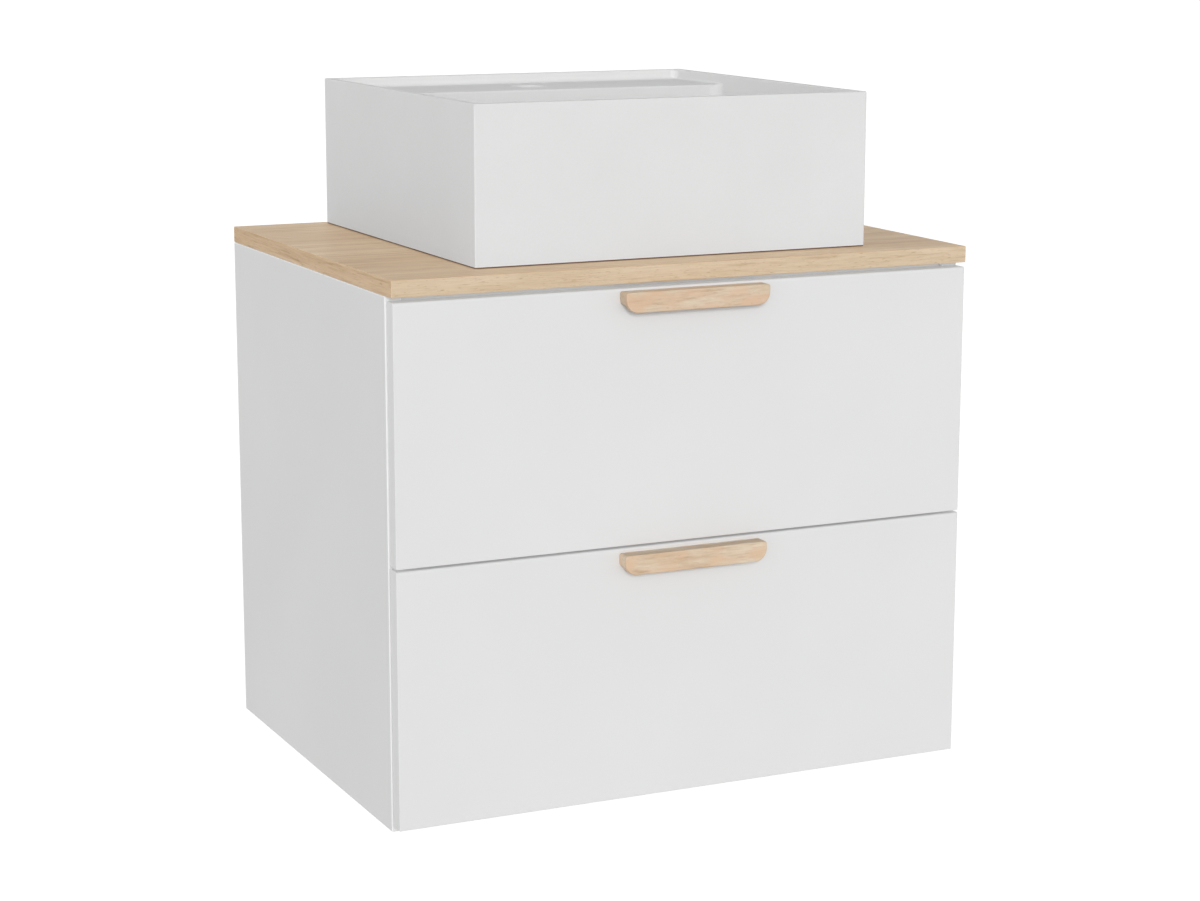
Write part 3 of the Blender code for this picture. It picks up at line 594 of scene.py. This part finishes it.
def basin_shell():
    """One casting: outer box, rim, bowl with a falling floor, tap deck, hollow foot.

    Each edge carries its own radius as a bevel weight.
    """
    bx = (B_HI.x - B_LO.x) / 2
    wall = 8.0
    ix = bx - wall
    y0, y1 = B_LO.y, B_HI.y
    iy0, iy1 = y0 + wall, y1 - wall
    foot, top = B_LO.z, B_HI.z
    deck, back, floor, low = top - 10.2, 335.0, 42.0, 36.0
    under, under_deck, step, uy0 = 21.0, 128.0, 343.0, iy0 + 2
    bm = bmesh.new()

    def v(x, y, z):
        return bm.verts.new((x, y, z))

    ob = [v(-bx, y0, foot), v(bx, y0, foot), v(bx, y1, foot), v(-bx, y1, foot)]
    ot = [v(-bx, y0, top), v(bx, y0, top), v(bx, y1, top), v(-bx, y1, top)]
    it = [v(-ix, iy0, top), v(ix, iy0, top), v(ix, iy1, top), v(-ix, iy1, top)]
    db = [v(ix, iy1, deck), v(-ix, iy1, deck)]
    df = [v(ix, back, deck), v(-ix, back, deck)]
    fl = [v(-ix, iy0, floor), v(ix, iy0, floor), v(ix, back, floor), v(-ix, back, floor)]
    drain = v(0, DRAIN_Y, low)
    ub = [v(-ix, uy0, foot), v(ix, uy0, foot), v(ix, iy1, foot), v(-ix, iy1, foot)]
    ut = [v(-ix, uy0, under), v(ix, uy0, under), v(ix, step, under), v(-ix, step, under)]
    us = [v(ix, step, under_deck), v(-ix, step, under_deck), v(ix, iy1, under_deck), v(-ix, iy1, under_deck)]
    face = bm.faces.new
    for i in range(4):
        j = (i + 1) % 4
        face((ob[i], ob[j], ot[j], ot[i]))
        face((ot[i], ot[j], it[j], it[i]))
        face((ob[j], ob[i], ub[i], ub[j]))
        face((fl[i], fl[j], drain))
    face((it[0], it[1], fl[1], fl[0]))
    face((it[1], it[2], db[0], df[0], fl[2], fl[1]))
    face((it[3], it[0], fl[0], fl[3], df[1], db[1]))
    face((it[2], it[3], db[1], db[0]))
    face((db[0], db[1], df[1], df[0]))
    face((df[0], df[1], fl[3], fl[2]))
    face((ub[0], ub[1], ut[1], ut[0]))
    face((ub[1], ub[2], us[2], us[0], ut[2], ut[1]))
    face((ub[3], ub[0], ut[0], ut[3], us[1], us[3]))
    face((ub[2], ub[3], us[3], us[2]))
    face((ut[0], ut[1], ut[2], ut[3]))
    face((ut[3], ut[2], us[0], us[1]))
    face((us[0], us[2], us[3], us[1]))
    bmesh.ops.recalc_face_normals(bm, faces=bm.faces)
    weights = bm.edges.layers.float.new("bevel_weight_edge")
    widest = 12.0

    def radius(a, b, r):
        bm.edges.get((a, b))[weights] = r / widest

    for i in range(4):
        j = (i + 1) % 4
        radius(ob[i], ot[i], 1.3)
        radius(ob[i], ob[j], 0.35)
        radius(ot[i], ot[j], 1.0)
        radius(it[i], it[j], 1.0)
        radius(fl[i], fl[j], 12.0)
    radius(it[0], fl[0], 12.0)
    radius(it[1], fl[1], 12.0)
    radius(it[2], db[0], 8.0)
    radius(it[3], db[1], 8.0)
    radius(df[0], fl[2], 12.0)
    radius(df[1], fl[3], 12.0)
    radius(df[0], df[1], 2.0)
    radius(df[0], db[0], 2.5)
    radius(df[1], db[1], 2.5)
    radius(db[0], db[1], 4.0)
    obj = loose("basin_fine", bm, (BX, 0, 0))
    bevel(obj, widest, 8, weight=True)
    return obj


basin = basin_shell()
SEAT = 33.0
DECK = B_HI.z - 10.2
carve(
    basin,
    # flared tap hole
    loose("tool", turned_bm(eased([(0, DECK - 30), (17.5, DECK - 30), (17.5, DECK - 1.2), (19.2, DECK + 0.4), (19.2, DECK + 8), (0, DECK + 8)], 0.8, 4, keep=(0, 5)), "Z", 96), (BX, TAP_Y, 0)),
    # seat of the waste flange, then the drain hole
    loose("tool", turned_bm(eased([(0, SEAT), (34.0, SEAT), (34.0, SEAT + 3.0), (36.0, SEAT + 6.0), (36.0, SEAT + 30), (0, SEAT + 30)], 1.0, 4, keep=(0, 5)), "Z", 96), (BX, DRAIN_Y, 0)),
    cylinder((BX, DRAIN_Y, 0), 22.5, 5, 60, segments=96),
    # rebate over the gasket, inside the skirt of the foot
    loose("tool", box_bm((B_LO.x + 3, B_HI.x - 3), (B_LO.y + 3, B_HI.y - 3), (-3, 1.5))),
)
# The lowest millimetre of the foot is set back 0.6 mm, a real step; its faces take a dark brown as painted shade for
# the joint with the worktop.
painted_shade_band = loose("tool_painted_shade_band", box_bm((B_LO.x - 4, B_HI.x + 4), (B_LO.y - 4, B_HI.y + 4), (-3, 1.1)))
carve(painted_shade_band, loose("tool", box_bm((B_LO.x + 0.6, B_HI.x - 0.6), (B_LO.y + 0.6, B_HI.y - 0.6), (-6, 4))))
carve(basin, painted_shade_band)
basin.data.materials.append(MINERAL)
basin.data.materials.append(JOINT_PAINTED_SHADE)
# faces below 0.85 mm get the dark brown painted shade
heights = [(basin.matrix_world @ vert.co).z - B_LO_WORLD for vert in basin.data.vertices]
for face in basin.data.polygons:
    face.material_index = 1 if max(heights[i] for i in face.vertices) < 0.85 * MM else 0
dress(basin, "basin", MINERAL, sharp=40.0)

# Gasket: a thin foam ring set back under the foot; its dark brown is painted shade for the joint line.
g_lo, g_hi = local(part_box("basin_gasket")[0]), local(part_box("basin_gasket")[1])
gx = (g_hi.x - g_lo.x) / 2
ring = loose("basin_gasket_fine", prism_bm(rounded(-gx, gx, g_lo.y, g_hi.y, [1.0] * 4, 4), g_lo.z, g_hi.z), (BX, 0, 0))
carve(ring, loose("tool", prism_bm(rounded(-gx + 4.6, gx - 4.6, g_lo.y + 4.6, g_hi.y - 4.6, [2.0] * 4, 4), -3, 5), (BX, 0, 0)))
bevel(ring, 0.15, 2)
dress(ring, "basin_gasket", GASKET_PAINTED_SHADE)

# =============================================================== waste, plug and trap
FOOT = -66.0
W_R, W_B = 20.9, 18.4
waste = loose(
    "waste_body_fine",
    turned_bm(
        eased([(W_B, FOOT), (W_R, FOOT), (W_R, SEAT + 2.1), (31.5, SEAT + 2.1), (31.5, SEAT + 3.5), (29.0, SEAT + 4.4), (W_B, SEAT + 4.4)], 0.5, 3),
        "Z",
    ),
    (BX, DRAIN_Y, 0),
)
spider = loose("tool", box_bm((-W_B - 1.2, W_B + 1.2), (-2, 2), (4, 12)), (BX, DRAIN_Y, 0))
boss = cylinder((BX, DRAIN_Y, 0), 7.5, 0, 16, segments=48)
carve(waste, spider, boss, operation="UNION")
carve(waste, cylinder((BX, DRAIN_Y, 0), 4.5, -20, 30, segments=48))
bevel(waste, 0.25, 2, angle=50)
dress(waste, "waste_body", CHROME, sharp=35.0)

CAP = SEAT + 4.7
plug_profile = [(0, -14), (3.4, -14), (4.1, -13), (4.1, CAP), (29.5, CAP), (31.0, CAP + 1.6)]
plug_profile += [(31.0 - 2.6 * (1 - math.cos(t)) - 0.0, CAP + 1.6 + 1.9 * math.sin(t)) for t in (0.35, 0.7, 1.05, 1.4)]
plug_profile += [(26.0, CAP + 4.25), (20.0, CAP + 4.9), (12.0, CAP + 5.3), (5.0, CAP + 5.5), (0, CAP + 5.6)]
plug = loose("waste_plug_fine", turned_bm(plug_profile, "Z"), (BX, DRAIN_Y, 0))
dress(plug, "waste_plug", CHROME, sharp=40.0)


def turned_piece(node, profile, material, place, axis="Z", ease=0.6, wave=None, keep=(), segments=96):
    obj = loose(node + "_fine", turned_bm(eased(profile, ease, 3, keep), axis, segments, wave), place)
    return dress(obj, node, material, sharp=38.0)


AT_DRAIN = (BX, DRAIN_Y, 0)
turned_piece("waste_seal_upper", [(21.2, SEAT + 0.3), (30.0, SEAT + 0.3), (30.0, SEAT + 1.8), (21.2, SEAT + 1.8)], RUBBER, AT_DRAIN, ease=0.3)
turned_piece("waste_seal_lower", [(21.2, -22.0), (35.0, -22.0), (35.0, -16.3), (21.2, -16.3)], RUBBER, AT_DRAIN, ease=1.2)


def lugs(count, depth, above):
    """Grip ribs round a nut: only radii over `above` are waved inwards."""

    def wave(t, r, h):
        return r - depth * max(0.0, math.cos(count * t)) ** 2 if r > above else r

    return wave


turned_piece("waste_nut", [(21.2, -33.0), (29.0, -33.0), (32.0, -30.0), (32.0, -22.3), (21.2, -22.3)], PLASTIC, AT_DRAIN, wave=lugs(12, 1.8, 27.0), segments=144)
turned_piece("trap_tailpiece", [(14.4, -238.0), (16.0, -238.0), (16.0, FOOT - 3.3), (20.5, FOOT - 3.3), (20.5, FOOT - 0.3), (14.4, FOOT - 0.3)], PLASTIC, AT_DRAIN)
turned_piece(
    "trap_inlet_nut",
    [(16.4, FOOT - 7.6), (24.0, FOOT - 7.6), (26.5, FOOT - 5.0), (26.5, FOOT + 12.0), (21.3, FOOT + 12.0), (21.3, FOOT - 3.6), (16.4, FOOT - 3.6)],
    PLASTIC, AT_DRAIN, wave=lugs(16, 1.3, 23.0), segments=160,
)
PIPE_Z = (local(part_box("trap_outlet_pipe")[0]).z + local(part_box("trap_outlet_pipe")[1]).z) / 2
trap = loose(
    "trap_body_fine",
    turned_bm(
        eased([(26.4, -204.0), (29.6, -204.0), (29.6, -194.0), (33.0, -194.0), (33.0, -148.0), (24.0, -138.0), (16.5, -138.0), (16.5, -143.0), (26.4, -150.0)], 2.0, 4),
        "Z",
    ),
    AT_DRAIN,
)
carve(trap, cylinder((BX, DRAIN_Y, PIPE_Z), 19.5, 28, 72, "Y", 64), operation="UNION")
carve(trap, cylinder((BX, DRAIN_Y, PIPE_Z), 16.4, 22, 82, "Y", 64))
dress(trap, "trap_body", PLASTIC, sharp=38.0)
turned_piece(
    "trap_cup",
    [(0.0, -262.0), (24.0, -262.0), (31.0, -256.0), (34.5, -240.0), (34.5, -194.3), (29.95, -194.3), (29.95, -204.5), (31.0, -206.0), (31.0, -240.0), (28.0, -253.0), (22.0, -258.5), (0.0, -258.5)],
    PLASTIC, AT_DRAIN, ease=2.5, keep=(0, 4, 5, 6, 7, 11), wave=lambda t, r, h: r - 1.0 * max(0.0, math.cos(14 * t)) ** 2 if r > 32 and -236 < h < -190 else r, segments=168,
)
turned_piece(
    "trap_outlet_nut",
    [(19.9, 0.0), (25.0, 0.0), (25.0, 15.0), (22.0, 21.0), (16.4, 21.0), (16.4, 16.6), (19.9, 16.6)],
    PLASTIC, (BX, DRAIN_Y + 56.0, PIPE_Z), "Y", wave=lugs(16, 1.2, 21.5), segments=160,
)
run = WALL - DRAIN_Y - 40.0
turned_piece("trap_outlet_pipe", [(14.4, 0.0), (16.0, 0.0), (16.0, run), (14.4, run)], PLASTIC, (BX, DRAIN_Y + 40.0, PIPE_Z), "Y", ease=0.4)
turned_piece(
    "wall_rosette",
    [(16.4, -9.0), (20.0, -9.0), (30.0, -4.0), (32.0, 0.0), (29.8, 0.0), (28.4, -2.4), (19.6, -7.0), (16.4, -7.0)],
    CHROME, (BX, WALL, PIPE_Z), "Y", ease=1.4, keep=(3, 4),
)

# =============================================================== runners, hangers, wall plates
for level in ("upper", "lower"):
    for side in ("left", "right"):
        for member in ("outer", "mid", "inner"):
            refined(f"{level}_runner_{member}_{side}", STEEL, width=0.45, segments=3)
for side in ("left", "right"):
    refined(f"cabinet_hanger_{side}", STEEL_PLAIN, width=0.8, segments=2)
    refined(f"wall_plate_{side}", STEEL_PLAIN, width=0.5, segments=2)
    refined(f"hanger_cover_{side}", PLASTIC, width=0.7, segments=3)

# =============================================================== stage: floor, world, light
GROUND, HORIZON, ZENITH, UPPER_LEFT = 0.532, 1.463, 0.413, 0.287
KEY, KEY_ANGLE = 0.38, 14.0
FLOOR_Z = -0.86 + basin_hi.z
floor_bm = bmesh.new()
bmesh.ops.create_grid(floor_bm, x_segments=2, y_segments=2, size=30.0)
floor_mesh = bpy.data.meshes.new("floor")
floor_bm.to_mesh(floor_mesh)
floor_bm.free()
floor = bpy.data.objects.new("floor", floor_mesh)
bpy.context.scene.collection.objects.link(floor)
floor.location = (0.0, 0.0, FLOOR_Z)
floor_mat = Nodes("floor_white")
soft = floor_mat.noise(floor_mat.mapped((2.0, 2.0, 2.0)), detail=2.0)
floor_mat.finish(floor_mat.mix(soft, (0.34, 0.34, 0.34), (0.36, 0.36, 0.36)), 0.9, specular=0.0)
floor_mat.bsdf.inputs["Emission Color"].default_value = (1.0, 1.0, 1.0, 1.0)
floor_mat.bsdf.inputs["Emission Strength"].default_value = 0.86
floor_mesh.materials.append(floor_mat.mat)
floor.visible_diffuse = False
floor.visible_glossy = False

# Soft surround: bright near the horizon, fainter overhead and from the upper left, over a pale ground; white where the camera looks past.
world = bpy.data.worlds.new("studio")
bpy.context.scene.world = world
world.use_nodes = True
tree = world.node_tree


def world_math(operation, a, b):
    node = tree.nodes.new("ShaderNodeMath")
    node.operation = operation
    for socket, value in zip(node.inputs, (a, b)):
        if isinstance(value, bpy.types.NodeSocket):
            tree.links.new(value, socket)
        else:
            socket.default_value = value
    return node.outputs[0]


split = tree.nodes.new("ShaderNodeSeparateXYZ")
tree.links.new(tree.nodes.new("ShaderNodeTexCoord").outputs["Generated"], split.inputs[0])
sky = tree.nodes.new("ShaderNodeMapRange")
sky.interpolation_type = "SMOOTHSTEP"
tree.links.new(split.outputs["Z"], sky.inputs["Value"])
sky.inputs["From Min"].default_value, sky.inputs["From Max"].default_value = -0.04, 0.04
above = sky.outputs["Result"]
height = world_math("MAXIMUM", split.outputs["Z"], 0.0)
horizon = world_math("MULTIPLY", world_math("POWER", world_math("SUBTRACT", 1.0, height), 2.0), HORIZON)
zenith = world_math("MULTIPLY", world_math("POWER", height, 2.0), ZENITH)
slant = world_math("MULTIPLY", world_math("SUBTRACT", split.outputs["Z"], split.outputs["X"]), math.sqrt(0.5))
upper_left = world_math("MULTIPLY", world_math("POWER", world_math("MAXIMUM", slant, 0.0), 3.0), UPPER_LEFT)
walls = world_math("MULTIPLY", world_math("ADD", world_math("ADD", horizon, zenith), upper_left), above)
ground = world_math("MULTIPLY", world_math("SUBTRACT", 1.0, above), GROUND)
glow = world_math("ADD", walls, ground)
path = tree.nodes.new("ShaderNodeLightPath")
pick = tree.nodes.new("ShaderNodeMix")
pick.data_type = "FLOAT"
tree.links.new(path.outputs["Is Camera Ray"], pick.inputs[0])
tree.links.new(glow, pick.inputs[2])
pick.inputs[3].default_value = 1.02
tree.links.new(pick.outputs[0], tree.nodes["Background"].inputs["Color"])

key_data = bpy.data.lights.new("key", "SUN")
key_data.angle = math.radians(KEY_ANGLE)
key_data.energy = KEY * math.pi
key = bpy.data.objects.new("key", key_data)
bpy.context.scene.collection.objects.link(key)
key.rotation_mode = "QUATERNION"
key.rotation_quaternion = Vector((0.33, 0.89, -0.31)).to_track_quat("-Z", "Y")

scene = bpy.context.scene
scene.view_settings.view_transform = "Standard"
scene.view_settings.look = "None"
scene.view_settings.exposure = 0.0
scene.view_settings.gamma = 1.0

for item in list(bpy.data.objects):
    if item.name.startswith("tool"):
        bpy.data.objects.remove(item, do_unlink=True)
